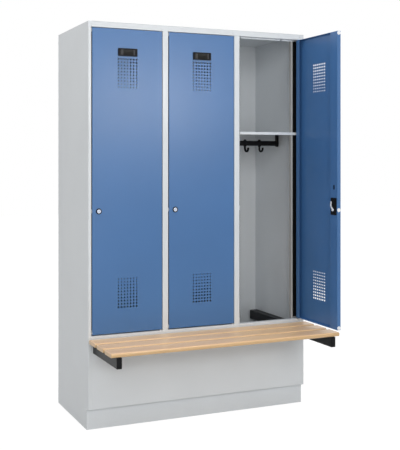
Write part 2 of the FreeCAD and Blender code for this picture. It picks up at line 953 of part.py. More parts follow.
def bench_arm(side):
    """Arm tube, and the spacer tube between it and the carcass side."""
    x0 = arm_left(side)
    x1 = x0 + arm_width
    spacer_x = (x_left + sheet, x0) if side < 0 else (x1, x_right - sheet)
    radius = screw_radius + screw_hole_gap
    drills = [
        disc(radius, arm_height, V(x, y, arm_bottom), UP)
        for number in range(len(slat_names))
        for x, y in screw_places(number, side)
    ]
    arm = tube(x0, x1, arm_front + cap_thickness, arm_back).cut(drills)
    return group([arm, tube(*spacer_x, front + spacer_setback, arm_back)])


def arm_end_caps():
    """Plate on each arm's front end with a plug inside the tube."""
    seat = arm_front + cap_thickness
    inset = arm_wall + cap_fit
    plug_radius_inside = max(arm_corner_radius - arm_wall, bend_radius)
    caps = []
    for side in (-1, 1):
        x0 = arm_left(side)
        x1 = x0 + arm_width
        plate = rounded_plate(x0, x1, arm_front, seat, arm_bottom, arm_top, arm_corner_radius)
        plug = rounded_plate(
            x0 + inset,
            x1 - inset,
            seat,
            seat + cap_plug_length,
            arm_bottom + inset,
            arm_top - inset,
            plug_radius_inside,
        )
        caps.append(union([plate, plug]))
    return group(caps)


def slat_screws():
    screws = []
    for x, y in all_screw_places():
        shaft = disc(screw_radius, arm_height + screw_bite, V(x, y, arm_bottom), UP)
        head = disc(screw_head_radius, screw_head_height, V(x, y, arm_bottom - screw_head_height), UP)
        screws.append(union([shaft, head]))
    return group(screws)


def all_nodes():
    """Every node's name and shape."""
    nodes = {
        "plinth_frame": plinth_frame(),
        "bottom_panel": bottom_panel(),
        "side_panel_left": side_panel_left(),
        "side_panel_right": side_panel_right(),
        "back_panel": back_panel(),
        "top_panel": top_panel(),
        "top_rail": top_rail(),
        "bottom_rail": bottom_rail(),
        "lower_front_panel": lower_front_panel(),
        "hinge_pins": hinge_pins(),
        "bench_arm_left": bench_arm(-1),
        "bench_arm_right": bench_arm(1),
        "arm_end_caps": arm_end_caps(),
        "slat_screws": slat_screws(),
    }
    for number, name in enumerate(slat_names):
        nodes[f"bench_slat_{name}"] = bench_slat(number)
    for bay in range(last_bay):
        nodes[f"partition_{bay_names[bay]}"] = partition(bay)
        nodes[f"centre_post_{bay_names[bay]}"] = centre_post(bay)
    door = door_pieces()
    for bay, name in enumerate(bay_names):
        nodes[f"hinge_stop_{name}"] = hinge_stop(bay)
        nodes[f"hat_shelf_{name}"] = hat_shelf(bay)
        nodes[f"coat_rail_{name}"] = coat_rail(bay)
        for number in range(hooks_per_bay):
            nodes[f"coat_hook_{name}_{number + 1}"] = coat_hook(bay, number)
        for piece, shape in door.items():
            nodes[f"{piece}_{name}"] = hang(shape, bay)
    return nodes


os.makedirs("parts", exist_ok=True)
for node, shape in all_nodes().items():
    shape.exportStep(f"parts/{node}.step")
    print(node, len(shape.Solids), round(shape.Volume), shape.isValid())
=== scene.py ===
import json
import math

import bmesh
import bpy
import numpy as np
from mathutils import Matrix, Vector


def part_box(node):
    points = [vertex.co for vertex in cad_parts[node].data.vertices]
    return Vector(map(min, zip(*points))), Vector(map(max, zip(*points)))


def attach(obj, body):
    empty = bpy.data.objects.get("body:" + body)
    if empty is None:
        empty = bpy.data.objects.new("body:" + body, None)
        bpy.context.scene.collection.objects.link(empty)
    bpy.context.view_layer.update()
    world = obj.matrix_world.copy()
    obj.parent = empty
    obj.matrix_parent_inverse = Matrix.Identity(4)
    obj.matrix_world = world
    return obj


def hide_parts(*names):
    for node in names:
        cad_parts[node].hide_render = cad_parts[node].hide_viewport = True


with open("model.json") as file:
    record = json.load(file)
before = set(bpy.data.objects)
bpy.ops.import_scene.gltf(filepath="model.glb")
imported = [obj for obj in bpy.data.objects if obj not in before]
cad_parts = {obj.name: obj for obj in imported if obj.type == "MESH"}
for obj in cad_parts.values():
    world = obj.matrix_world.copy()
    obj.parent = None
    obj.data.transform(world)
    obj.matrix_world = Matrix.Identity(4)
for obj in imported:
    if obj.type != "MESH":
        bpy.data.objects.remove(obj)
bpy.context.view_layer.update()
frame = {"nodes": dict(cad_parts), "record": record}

# Places on the locker, in metres: X to the right, Y to the back, Z up, origin on the floor under the carcass
BAYS = ("left", "middle", "right")
BAY_WIDTH = 0.400
FRONT = -0.250
LEFT_SIDE = -0.600
DOOR_EDGE = LEFT_SIDE + 0.0195
PIVOT = (LEFT_SIDE + 0.376, FRONT + 0.005)
LOCK = (LEFT_SIDE + 0.0525, 1.043)
BOLT_LEVELS = (0.466, 1.043, 1.909)
BOLT_DEPTH = FRONT + 0.011
LABEL = (LEFT_SIDE + 0.200, 1.808)
RAIL = (FRONT + 0.240, 1.3795)
RAIL_SECTION = (0.014, 0.027)
HOOK_PITCH = 0.090
HOOK_SHIFT = 0.018
HOOK_NUMBERS = (1, 2, 3)
SLOT = (DOOR_EDGE + 0.028, LOCK[1] + 0.111)
SLAT_TOP = 0.437

# Directions
ACROSS = (1, 0, 0)
INWARD = (0, 1, 0)
OUTWARD = (0, -1, 0)
LEFTWARD = (-1, 0, 0)

# Edges that bend more than the first stay sharp, and points closer than the second become one
SHARP_ANGLE = math.radians(40)
SAME_PLACE = 1e-7


# Surfaces
def grid_faces(rows, columns, wrap_rows=False, wrap_columns=False):
    """Quads between the neighbours of a grid of points counted row by row; a wrapped side joins its end to
    its start."""
    i = np.arange(rows if wrap_rows else rows - 1)
    j = np.arange(columns if wrap_columns else columns - 1)
    i, j = np.meshgrid(i, j, indexing="ij")
    below, beside = (i + 1) % rows, (j + 1) % columns
    quads = [i * columns + j, i * columns + beside, below * columns + beside, below * columns + j]
    return np.stack(quads, axis=-1).reshape(-1, 4)


def rounded_loop(width, height, radius, steps=6):
    """Closed loop round a rectangle about zero whose corners are quarter circles: corner centre plus radius
    times (cosine, sine) of an angle that runs once round."""
    angle = np.linspace(0, math.pi / 2, steps)[None, :] + np.arange(4)[:, None] * math.pi / 2
    middle = np.array([[1, 1], [-1, 1], [-1, -1], [1, -1]]) * (width / 2 - radius, height / 2 - radius)
    turn = np.stack([np.cos(angle), np.sin(angle)], axis=-1) * radius
    return (middle[:, None, :] + turn).reshape(-1, 2)


def sweep(path, across, profile, shrink=None, closed=False):
    """Profile carried along a path. Each point is the path's point plus the profile's first share along the
    fixed direction across and its second along the normal, which is the path's own direction crossed with
    across. shrink scales the profile at each step, and an open path's ends are drawn together to a point."""
    path, across = np.asarray(path, float), np.asarray(across, float)
    shrink = np.ones(len(path)) if shrink is None else np.asarray(shrink, float)
    along = np.roll(path, -1, 0) - np.roll(path, 1, 0) if closed else np.gradient(path, axis=0)
    normal = np.cross(along, across)
    normal /= np.linalg.norm(normal, axis=1, keepdims=True)
    offset = profile[None, :, :1] * across + profile[None, :, 1:] * normal[:, None, :]
    points = path[:, None, :] + offset * shrink[:, None, None]
    if not closed:
        ends = [np.repeat(path[k][None, None, :], len(profile), 1) for k in (0, -1)]
        points = np.concatenate([ends[0], points, ends[1]])
    faces = grid_faces(len(points), len(profile), closed, True)
    return points.reshape(-1, 3), faces


def lathe(centre, axis, profile, steps=48):
    """Profile of radius and height turned round a level axis: centre plus height along the axis plus radius
    times (cosine, sine) across it. The profile is a closed loop, so the ring has no seam."""
    profile = np.asarray(profile, float)
    axis = np.asarray(axis, float)
    first = np.array([0.0, 0.0, 1.0])
    second = np.cross(axis, first)
    angle = np.linspace(0, 2 * math.pi, steps, endpoint=False)
    ring = np.cos(angle)[:, None] * first + np.sin(angle)[:, None] * second
    points = centre + profile[None, :, 1:] * axis + profile[None, :, :1] * ring[:, None, :]
    return points.reshape(-1, 3), grid_faces(steps, len(profile), True, True)


def on_door(points, bay):
    """Points given on the first bay's shut door, moved to their own bay; the last bay's door stands open, so
    there they turn a quarter about its pivot line: new X is pivot X less the depth behind it, new Y is pivot
    Y plus the distance beside it."""
    points = np.array(points, float)
    points[:, 0] += bay * BAY_WIDTH
    if BAYS[bay] == "right":
        x, y = PIVOT[0] + bay * BAY_WIDTH, PIVOT[1]
        points[:, :2] = np.stack([x - (points[:, 1] - y), y + (points[:, 0] - x)], axis=-1)
    return points


def add_piece(name, shells, finish, body):
    """One object from shells of points and faces, with doubled points merged and faces turned outwards."""
    counts = np.cumsum([0] + [len(points) for points, _ in shells])
    points = np.concatenate([points for points, _ in shells])
    faces = np.concatenate([faces + start for (_, faces), start in zip(shells, counts)])
    mesh = bpy.data.meshes.new(name)
    mesh.from_pydata(points.tolist(), [], faces.tolist())
    work = bmesh.new()
    work.from_mesh(mesh)
    bmesh.ops.remove_doubles(work, verts=work.verts, dist=SAME_PLACE)
    bmesh.ops.dissolve_degenerate(work, edges=work.edges, dist=SAME_PLACE)
    bmesh.ops.recalc_face_normals(work, faces=work.faces)
    work.to_mesh(mesh)
    work.free()
    mesh.polygons.foreach_set("use_smooth", np.ones(len(mesh.polygons), bool))
    mesh.set_sharp_from_angle(angle=SHARP_ANGLE)
    mesh.materials.append(finish)
    piece = bpy.data.objects.new(name, mesh)
    bpy.context.scene.collection.objects.link(piece)
    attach(piece, body)
    return piece


# Material building blocks
def add_node(tree, kind, inputs=None, **settings):
    """New node with its settings; each input is given a value or linked from another node's socket."""
    node = tree.nodes.new(kind)
    for key, value in settings.items():
        setattr(node, key, value)
    for key, value in (inputs or {}).items():
        if isinstance(value, bpy.types.NodeSocket):
            tree.links.new(value, node.inputs[key])
        else:
            node.inputs[key].default_value = value
    return node


def noise(tree, vector, scale, detail=2.0, roughness=0.5):
    values = {"Vector": vector, "Scale": scale, "Detail": detail, "Roughness": roughness}
    return add_node(tree, "ShaderNodeTexNoise", values).outputs["Fac"]


def remap(tree, value, low, high, to_low=0.0, to_high=1.0):
    """Value carried from one range to another and held at both ends."""
    values = {"Value": value, "From Min": low, "From Max": high, "To Min": to_low, "To Max": to_high}
    return add_node(tree, "ShaderNodeMapRange", values).outputs["Result"]


def math_node(tree, operation, a, b):
    return add_node(tree, "ShaderNodeMath", {0: a, 1: b}, operation=operation).outputs[0]


def mix_colour(tree, factor, a, b, blend="MIX"):
    values = {0: factor, 6: a, 7: b}
    return add_node(tree, "ShaderNodeMix", values, data_type="RGBA", blend_type=blend).outputs[2]


def mapped(tree, vector, scale=(1, 1, 1), location=(0, 0, 0)):
    values = {"Vector": vector, "Scale": scale, "Location": location}
    return add_node(tree, "ShaderNodeMapping", values).outputs["Vector"]


def object_place(tree):
    return add_node(tree, "ShaderNodeTexCoord").outputs["Object"]


def seen_plainly(tree):
    """One for rays from the camera, for mirrored rays and for rays through clear things, else zero."""
    path = add_node(tree, "ShaderNodeLightPath").outputs
    seen = math_node(tree, "MAXIMUM", path["Is Camera Ray"], path["Is Glossy Ray"])
    return math_node(tree, "MAXIMUM", seen, path["Is Transmission Ray"])


def finish_group(name, inputs):
    """Empty node group with its input sockets and with a colour, a roughness and a height as outputs."""
    tree = bpy.data.node_groups.new(name, "ShaderNodeTree")
    for label, value in inputs.items():
        kind = "NodeSocketColor" if isinstance(value, tuple) else "NodeSocketFloat"
        tree.interface.new_socket(label, in_out="INPUT", socket_type=kind).default_value = value
    for label, kind in (("Color", "Color"), ("Roughness", "Float"), ("Height", "Float")):
        tree.interface.new_socket(label, in_out="OUTPUT", socket_type=f"NodeSocket{kind}")
    return tree, tree.nodes.new("NodeGroupInput").outputs, tree.nodes.new("NodeGroupOutput").inputs


def powder_coat_group():
    """Baked powder paint: soft clouds of shade, a fine orange peel, tiny specks and faint wiped patches."""
    inputs = {"Paint": (0.5, 0.5, 0.5, 1), "Clouding": 0.04, "Gloss": 0.35, "Peel": 160.0}
    tree, given, result = finish_group("powder_coat", inputs)
    place = object_place(tree)
    clouds = noise(tree, place, 3.1, 3.0)
    specks = noise(tree, place, 340.0, 1.0)
    wiped = noise(tree, mapped(tree, place, (5, 5, 2)), 1.0, 1.0)
    shade = math_node(tree, "MULTIPLY", remap(tree, clouds, 0.3, 0.7, -1.0, 1.0), given["Clouding"])
    grain = remap(tree, specks, 0.3, 0.7, 0.985, 1.015)
    light = math_node(tree, "MULTIPLY", math_node(tree, "ADD", shade, 1.0), grain)
    tone = add_node(tree, "ShaderNodeHueSaturation", {"Color": given["Paint"], "Value": light})
    dull = math_node(tree, "ADD", given["Gloss"], remap(tree, wiped, 0.25, 0.75, -0.012, 0.018))
    peel = noise(tree, place, given["Peel"], 1.0)
    height = math_node(tree, "ADD", peel, math_node(tree, "MULTIPLY", specks, 0.25))
    tree.links.new(tone.outputs["Color"], result["Color"])
    tree.links.new(dull, result["Roughness"])
    tree.links.new(height, result["Height"])
    return tree


def moulded_group():
    """Moulded plastic: an eroded grain of two sizes, faint flow streaks and rubbed high spots."""
    inputs = {"Pigment": (0.02, 0.02, 0.02, 1), "Rubbed": (0.06, 0.06, 0.06, 1), "Gloss": 0.45}
    tree, given, result = finish_group("moulded_plastic", inputs)
    place = object_place(tree)
    coarse = noise(tree, place, 1500.0, 2.0)
    fine = noise(tree, place, 4200.0, 1.0)
    flow = noise(tree, mapped(tree, place, (40, 40, 160)), 1.0, 3.0)
    grain = math_node(tree, "ADD", coarse, math_node(tree, "MULTIPLY", fine, 0.5))
    high = remap(tree, grain, 0.85, 1.1)
    worn = math_node(tree, "MULTIPLY", high, remap(tree, flow, 0.4, 0.7, 0.15, 0.8))
    tree.links.new(mix_colour(tree, worn, given["Pigment"], given["Rubbed"]), result["Color"])
    rough = math_node(tree, "ADD", given["Gloss"], remap(tree, flow, 0.3, 0.7, -0.06, 0.08))
    tree.links.new(rough, result["Roughness"])
    tree.links.new(grain, result["Height"])
    return tree


def plated_group():
    """Plated metal: drawn lines along the part, cloudy crystals and small dull spots."""
    inputs = {"Metal": (0.6, 0.6, 0.6, 1), "Tarnish": (0.4, 0.4, 0.4, 1), "Gloss": 0.25}
    tree, given, result = finish_group("plated_metal", inputs)
    place = object_place(tree)
    lines = noise(tree, mapped(tree, place, (3000, 3000, 120)), 1.0, 2.0)
    crystal = add_node(tree, "ShaderNodeTexVoronoi", {"Vector": place, "Scale": 420.0}).outputs["Distance"]
    spots = remap(tree, noise(tree, place, 260.0, 4.0, 0.6), 0.52, 0.72)
    dull = math_node(tree, "MULTIPLY", spots, remap(tree, crystal, 0.0, 0.7, 0.4, 1.0))
    tree.links.new(mix_colour(tree, dull, given["Metal"], given["Tarnish"]), result["Color"])
    rough = math_node(tree, "ADD", given["Gloss"], remap(tree, lines, 0.3, 0.7, -0.05, 0.08))
    rough = math_node(tree, "ADD", rough, math_node(tree, "MULTIPLY", dull, 0.15))
    tree.links.new(rough, result["Roughness"])
    tree.links.new(lines, result["Height"])
    return tree


POWDER_COAT = powder_coat_group()
MOULDED = moulded_group()
PLATED = plated_group()
LACQUER_ROUGHNESS = 0.12


def new_material(name, **sockets):
    """Material with a Principled shader whose plain values are set on its own sockets."""
    material = bpy.data.materials.new(name)
    material.use_nodes = True
    tree = material.node_tree
    shader = tree.nodes["Principled BSDF"]
    for label, value in sockets.items():
        shader.inputs[label.replace("_", " ")].default_value = value
    return material, tree, shader


def add_bump(tree, shader, height, depth, strength):
    values = {"Height": height, "Distance": depth, "Strength": strength}
    tree.links.new(add_node(tree, "ShaderNodeBump", values).outputs["Normal"], shader.inputs["Normal"])


def dress(tree, shader, group, depth, strength, **values):
    """Puts a finish group in a material: colour and roughness feed the shader, and height feeds a bump."""
    finish = add_node(tree, "ShaderNodeGroup", node_tree=group)
    for label, value in values.items():
        finish.inputs[label].default_value = value
    tree.links.new(finish.outputs["Color"], shader.inputs["Base Color"])
    tree.links.new(finish.outputs["Roughness"], shader.inputs["Roughness"])
    add_bump(tree, shader, finish.outputs["Height"], depth, strength)


def painted(name, colour, clouding, gloss, peel, depth=0.0001, strength=0.07, coat=0.15, mirror=0.5):
    lacquer = {"Coat_Weight": coat, "Coat_Roughness": LACQUER_ROUGHNESS}
    material, tree, shader = new_material(name, Specular_IOR_Level=mirror, **lacquer)
    values = {"Paint": (*colour, 1), "Clouding": clouding, "Gloss": gloss, "Peel": peel}
    dress(tree, shader, POWDER_COAT, depth, strength, **values)
    return material


def moulded(name, pigment, rubbed, gloss, depth=0.00012, strength=0.35, mirror=0.5):
    material, tree, shader = new_material(name, Specular_IOR_Level=mirror)
    dress(tree, shader, MOULDED, depth, strength, Pigment=(*pigment, 1), Rubbed=(*rubbed, 1), Gloss=gloss)
    return material


def plated(name, metal, tarnish, gloss, metallic=1.0):
    material, tree, shader = new_material(name, Metallic=metallic)
    values = {"Metal": (*metal, 1), "Tarnish": (*tarnish, 1), "Gloss": gloss}
    dress(tree, shader, PLATED, depth=0.00004, strength=0.2, **values)
    return material


def lacquered_wood():
    """Steamed beech under clear lacquer: growth rings round a heart below the slats, long wavering bands,
    short dark ray flecks and pores. The sides below the top are mixed towards a darker yellow, painted shade."""
    lacquer = {"Coat_Weight": 0.22, "Coat_Roughness": LACQUER_ROUGHNESS}
    material, tree, shader = new_material("bench_wood", **lacquer)
    pale, deep = (0.90, 0.60, 0.34, 1), (0.75, 0.455, 0.235, 1)
    # The last of these colours is painted shade for the slat sides
    fleck, side_shade_yellow = (0.36, 0.20, 0.105, 1), (0.56, 0.36, 0.165, 1)
    rings_per_metre, ring_waver = 260.0, 7.0
    edge_start, edge_full = SLAT_TOP - 0.0005, SLAT_TOP - 0.006
    place = object_place(tree)
    waver = noise(tree, mapped(tree, place, (1.6, 9, 9)), 1.0, 3.0)
    heart = mapped(tree, place, (0.0, 1.0, 1.9), (0.0, 0.455, -0.30))
    depth = add_node(tree, "ShaderNodeVectorMath", {0: heart}, operation="LENGTH").outputs["Value"]
    even = math_node(tree, "MULTIPLY", depth, rings_per_metre)
    rings = math_node(tree, "ADD", even, math_node(tree, "MULTIPLY", waver, ring_waver))
    wave = math_node(tree, "PINGPONG", rings, 1.0)
    year = remap(tree, wave, 0.55, 1.0)
    bands = noise(tree, mapped(tree, place, (2.2, 95, 95)), 1.0, 4.0, 0.6)
    flecks = remap(tree, noise(tree, mapped(tree, place, (260, 1700, 1700)), 1.0, 1.0), 0.62, 0.72)
    pores = remap(tree, noise(tree, mapped(tree, place, (90, 2600, 2600)), 1.0, 2.0), 0.58, 0.7)
    colour = mix_colour(tree, math_node(tree, "MULTIPLY", year, 0.5), pale, deep)
    colour = mix_colour(tree, remap(tree, bands, 0.42, 0.7, 0.0, 0.45), colour, deep)
    colour = mix_colour(tree, math_node(tree, "MULTIPLY", flecks, 0.35), colour, fleck)
    level = add_node(tree, "ShaderNodeSeparateXYZ", {"Vector": place}).outputs["Z"]
    # Painted shade: the slat sides below the top are mixed towards the darker yellow
    edge = remap(tree, level, edge_start, edge_full)
    colour = mix_colour(tree, math_node(tree, "MULTIPLY", edge, 0.8), colour, side_shade_yellow)
    tree.links.new(colour, shader.inputs["Base Color"])
    sheen = remap(tree, bands, 0.3, 0.7, 0.30, 0.40)
    rough = math_node(tree, "ADD", sheen, math_node(tree, "MULTIPLY", pores, 0.1))
    tree.links.new(rough, shader.inputs["Roughness"])
    relief = math_node(tree, "SUBTRACT", math_node(tree, "MULTIPLY", bands, 0.6), pores)
    add_bump(tree, shader, relief, depth=0.00008, strength=0.25)
    return material


FINISHES = {
    "carcass_grey": painted("carcass_grey", (0.660, 0.688, 0.708), 0.025, 0.42, 150.0),
    # Painted shade: a darker copy of the carcass grey for the hinge stops, which sit in the shadow of the
    # doors beside them
    "painted_shade_stop_grey": painted("painted_shade_stop_grey", (0.40, 0.40, 0.39), 0.03, 0.50, 150.0, coat=0.0),
    "door_blue": painted("door_blue", (0.051, 0.150, 0.350), 0.04, 0.30, 140.0, coat=0.0),
    "bench_wood": lacquered_wood(),
    "arm_anthracite": painted(
        "arm_anthracite", (0.012, 0.014, 0.016), 0.10, 0.46, 220.0,
        depth=0.00015, strength=0.2, coat=0.0, mirror=0.25,
    ),
    "black_plastic": moulded(
        "black_plastic", (0.005, 0.005, 0.006), (0.014, 0.014, 0.015), 0.42, mirror=0.12,
    ),
    "white_nylon": moulded("white_nylon", (0.82, 0.84, 0.87), (0.86, 0.88, 0.90), 0.40),
    "lock_silver": plated("lock_silver", (0.46, 0.49, 0.56), (0.30, 0.32, 0.37), 0.24),
    "plain_steel": plated("plain_steel", (0.60, 0.60, 0.62), (0.40, 0.40, 0.40), 0.36),
}
WINDOW_FILM = moulded(
    "window_film", (0.006, 0.0055, 0.004), (0.012, 0.011, 0.009), 0.22,
    depth=0.00003, strength=0.1, mirror=0.1,
)
GREY_RIB = moulded("grey_rib", (0.040, 0.039, 0.040), (0.055, 0.054, 0.055), 0.38, mirror=0.2)
BRIGHT_ZINC = plated("bright_zinc", (0.84, 0.86, 0.90), (0.66, 0.68, 0.72), 0.40, metallic=0.35)
# Flat black for the strips in the hinge pocket and beside the doors' free edges: painted shade where these
# lie in shadow
PAINTED_SHADE_STRIP = moulded(
    "painted_shade_strip", (0.003, 0.003, 0.003), (0.007, 0.007, 0.007), 0.80,
    depth=0.0003, strength=0.6, mirror=0.1,
)

# The hinge stops take the darker grey, which is painted shade; every other node keeps its own slot's finish
for subpart in frame["record"]["subparts"]:
    finish = "painted_shade_stop_grey" if subpart["node"].startswith("hinge_stop") else subpart["material_slot"]
    for slot in frame["nodes"][subpart["node"]].material_slots:
        slot.material = FINISHES[finish]


# Pieces
STRIP_STEPS = 40


def upright(x, y, levels):
    """Path straight up at one place, with a point at each level."""
    return np.stack([np.full_like(levels, x), np.full_like(levels, y), levels], axis=-1)


def tip_shrink(steps, rounded):
    """One along the piece, then the height of a quarter circle over the last steps, so the end is rounded
    off. The circle stops just short of nothing."""
    furthest = 0.985
    fall = np.clip((np.arange(steps) - (steps - 1 - rounded)) / rounded, 0, furthest)
    return np.sqrt(1 - fall**2)


def coat_hook(bay, number):
    """Hook on the coat rail: a band round the bar, a button on top, and a tongue whose middle line runs
    straight down, round a half circle to the front and a little way up again."""
    x = LEFT_SIDE + (bay + 0.5) * BAY_WIDTH - HOOK_SHIFT + (number - 2) * HOOK_PITCH
    width, wall, slack, play, band_corner, band_edge = 0.011, 0.004, 0.0006, 0.0002, 0.006, 0.0012
    bend, neck, rise, tongue_depth, tongue_edge, tongue_share = 0.0177, 0.0097, 0.004, 0.0085, 0.0030, 0.98
    button_depth, button_height, button_edge, button_rise = 0.008, 0.0075, 0.0036, 0.0015
    button_share, bluntness, least = 0.49, 4, 0.02
    down_steps, curl_steps, up_steps, tip_steps, button_steps = 8, 25, 10, 6, 17
    depth, height = RAIL_SECTION[0] + slack + wall, RAIL_SECTION[1] + slack + wall
    band = np.insert(rounded_loop(depth, height, band_corner, steps=8) + RAIL, 0, x, axis=1)
    low = RAIL[1] - height / 2
    turn_z = low - wall / 2 - neck
    angle = np.linspace(0, math.pi, curl_steps)[1:-1]
    down = np.stack([np.full(down_steps, RAIL[0]), np.linspace(low, turn_z, down_steps)], axis=-1)
    curl = np.stack([RAIL[0] - bend + bend * np.cos(angle), turn_z - bend * np.sin(angle)], axis=-1)
    up_levels = np.linspace(turn_z, turn_z + rise, up_steps)
    up = np.stack([np.full(up_steps, RAIL[0] - 2 * bend), up_levels], axis=-1)
    tongue = np.insert(np.concatenate([down, curl, up]), 0, x, axis=1)
    top = RAIL[1] + height / 2 + button_rise
    reach = np.sin(np.linspace(-math.pi / 2, math.pi / 2, button_steps))
    button_x = x + reach * width * button_share
    button = np.insert(np.full((button_steps, 2), (RAIL[0], top)), 0, button_x, axis=1)
    flat = np.clip((1 - reach**2) * bluntness, least, 1) ** 0.5
    band_profile = rounded_loop(width, wall - play, band_edge, steps=5)
    tongue_profile = rounded_loop(width * tongue_share, tongue_depth, tongue_edge, steps=6)
    button_profile = rounded_loop(button_depth, button_height, button_edge, steps=8)
    shells = [
        sweep(band, ACROSS, band_profile, closed=True),
        sweep(tongue, ACROSS, tongue_profile, tip_shrink(len(tongue), tip_steps)),
        sweep(button, INWARD, button_profile, flat),
    ]
    name, finish = BAYS[bay], "black_plastic"
    piece = add_piece(f"hook_{name}_{number}", shells, FINISHES[finish], f"{name}_hook_{number}")
    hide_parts(f"coat_hook_{name}_{number}")


def arc(centre, radius, start, end, steps=7):
    """Points of radius and height on a circle between two angles in degrees."""
    angle = np.radians(np.linspace(start, end, steps))
    return np.stack([centre[0] + radius * np.cos(angle), centre[1] + radius * np.sin(angle)], axis=-1)


def lock_rings(bay):
    """Rounded collar over the lock's rosette and a turned rim on the plug's head, each a closed profile
    turned round the lock's axis."""
    centre = np.array([LOCK[0], FRONT, LOCK[1]])
    collar_outer, collar_level, collar_round = 0.01425, 0.0021, 0.00115
    collar_inner, lip_level, lip_round = 0.00985, 0.0026, 0.00055
    collar = np.concatenate([
        [[collar_outer, 0.0]],
        arc((collar_outer - collar_round, collar_level), collar_round, 0, 90),
        arc((collar_inner + lip_round, lip_level), lip_round, 90, 180),
        [[collar_inner, 0.0]],
    ])
    rim_outer, edge_level, edge_round = 0.0097, 0.0045, 0.0008
    rim_inner, bore_level, bore_round, bore_foot = 0.00585, 0.00495, 0.00035, 0.0046
    foot_inner, foot_level = 0.0080, 0.0034
    rim = np.concatenate([
        [[rim_outer, foot_level]],
        arc((rim_outer - edge_round, edge_level), edge_round, 0, 90),
        arc((rim_inner + bore_round, bore_level), bore_round, 90, 180),
        [[rim_inner, bore_foot], [foot_inner, foot_level]],
    ])
    name = BAYS[bay]
    for label, profile, finish, body in (
        ("lock_collar", collar, "black_plastic", f"{name}_door"),
        ("plug_rim", rim, "lock_silver", f"{name}_lock"),
    ):
        points, faces = lathe(centre, OUTWARD, profile)
        add_piece(f"{label}_{name}", [(on_door(points, bay), faces)], FINISHES[finish], body)


def cam_lever(bay):
    """Bright face of the lock's cam and its nut: a flat strip carried from the lock's axis to the knee and on
    to the tip, where it is rounded off, and a domed profile turned round the axis."""
    sunk, steps, tip_steps = 0.0028, 25, 8
    thickness, width, corner = 0.0009, 0.0102, 0.0003
    nut_radius, nut_height, dome_level, dome_round = 0.0063, 0.0034, 0.0021, 0.0011
    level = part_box("lock_plug_left")[1][1] - sunk
    bends = np.array([[0.0, 0.0], [0.015, 0.018], [0.014, 0.037], [0.0138, 0.042]])
    share = np.linspace(0, len(bends) - 1, steps)
    x, z = (LOCK[k] + np.interp(share, np.arange(len(bends)), bends[:, k]) for k in (0, 1))
    path = np.stack([x, np.full(steps, level), z], axis=-1)
    nut = np.concatenate([
        [[0.0, 0.0], [nut_radius, 0.0]],
        arc((nut_radius - dome_round, dome_level), dome_round, 0, 90),
        [[0.0, nut_height]],
    ])
    shells = [
        sweep(path, INWARD, rounded_loop(thickness, width, corner, steps=4), tip_shrink(steps, tip_steps)),
        lathe(np.array([LOCK[0], level, LOCK[1]]), INWARD, nut),
    ]
    shells = [(on_door(points, bay), faces) for points, faces in shells]
    name = BAYS[bay]
    add_piece(f"cam_lever_{name}", shells, BRIGHT_ZINC, f"{name}_lock")


def slot_plug(bay):
    """Blanking plug in the slot over the lock: an oval loop carried through the sheet, wider behind it."""
    width, height, corner = 0.0116, 0.0236, 0.0056
    sunk = np.array([0.0042, 0.0034, 0.0016, 0.0013, 0.0006, 0.0001])
    spread = (0.9, 1.15, 1.15, 1, 1, 0.96)
    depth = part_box("door_panel_left")[1][1] - sunk
    path = np.stack([np.full_like(depth, SLOT[0]), depth, np.full_like(depth, SLOT[1])], axis=-1)
    points, faces = sweep(path, ACROSS, rounded_loop(width, height, corner, steps=8), spread)
    shells = [(on_door(points, bay), faces)]
    name, finish = BAYS[bay], "black_plastic"
    add_piece(f"slot_plug_{name}", shells, FINISHES[finish], f"{name}_door")


def bolt_guides(bay):
    """Flanged guide round each bolt in the door's free edge: a low domed profile turned round the bolt's
    axis."""
    outer, edge_level, edge_round = 0.0096, 0.0003, 0.0005
    inner, bore_level, bore_round = 0.0077, 0.00055, 0.0003
    foot = -0.0002
    profile = np.concatenate([
        [[outer, foot]],
        arc((outer - edge_round, edge_level), edge_round, 0, 80),
        arc((inner + bore_round, bore_level), bore_round, 90, 170),
        [[inner, foot]],
    ])
    shells = []
    for level in BOLT_LEVELS:
        points, faces = lathe(np.array([DOOR_EDGE, BOLT_DEPTH, level]), LEFTWARD, profile)
        shells.append((on_door(points, bay), faces))
    name, finish = BAYS[bay], "white_nylon"
    add_piece(f"bolt_guides_{name}", shells, FINISHES[finish], f"{name}_door")


def label_cover(bay):
    """Cover of the label window: depth over the plate is a shallow dish, one less the square of the share of
    the width times one less the square of the share of the height, closed by a flat back; two upright ribs
    hold it."""
    half_width, half_height, dish_depth, columns, rows = 0.0379, 0.0129, 0.0003, 61, 31
    face_out, back_out, rib_out = 0.0027, 0.0021, 0.0029
    rib_half_height, rib_thickness, rib_corner, rib_steps = 0.0126, 0.0016, 0.0007, 24
    rib_middles_and_widths = ((-0.0305, 0.0130), (0.0335, 0.0075))
    across = np.linspace(-half_width, half_width, columns)
    up = np.linspace(-half_height, half_height, rows)
    u, v = np.meshgrid(across, up, indexing="ij")
    dish = dish_depth * (1 - (u / half_width) ** 2) * (1 - (v / half_height) ** 2)
    face = np.stack([LABEL[0] + u, FRONT - face_out + dish, LABEL[1] + v], axis=-1)
    back = np.stack([LABEL[0] + u, np.full_like(u, FRONT - back_out), LABEL[1] + v], axis=-1)
    rims = []
    for side in (np.s_[0, :], np.s_[-1, :], np.s_[:, 0], np.s_[:, -1]):
        rims.append((np.concatenate([face[side], back[side]]), grid_faces(2, len(face[side]))))
    cover = [(side.reshape(-1, 3), grid_faces(*u.shape)) for side in (face, back)] + rims
    ribs = []
    for middle, width in rib_middles_and_widths:
        levels = LABEL[1] + np.linspace(-rib_half_height, rib_half_height, rib_steps)
        path = upright(LABEL[0] + middle, FRONT - rib_out, levels)
        ribs.append(sweep(path, ACROSS, rounded_loop(width, rib_thickness, rib_corner, steps=5)))
    name = BAYS[bay]
    for label, shells, finish in (("label_cover", cover, WINDOW_FILM), ("label_ribs", ribs, GREY_RIB)):
        shells = [(on_door(points, bay), faces) for points, faces in shells]
        add_piece(f"{label}_{name}", shells, finish, f"{name}_door")


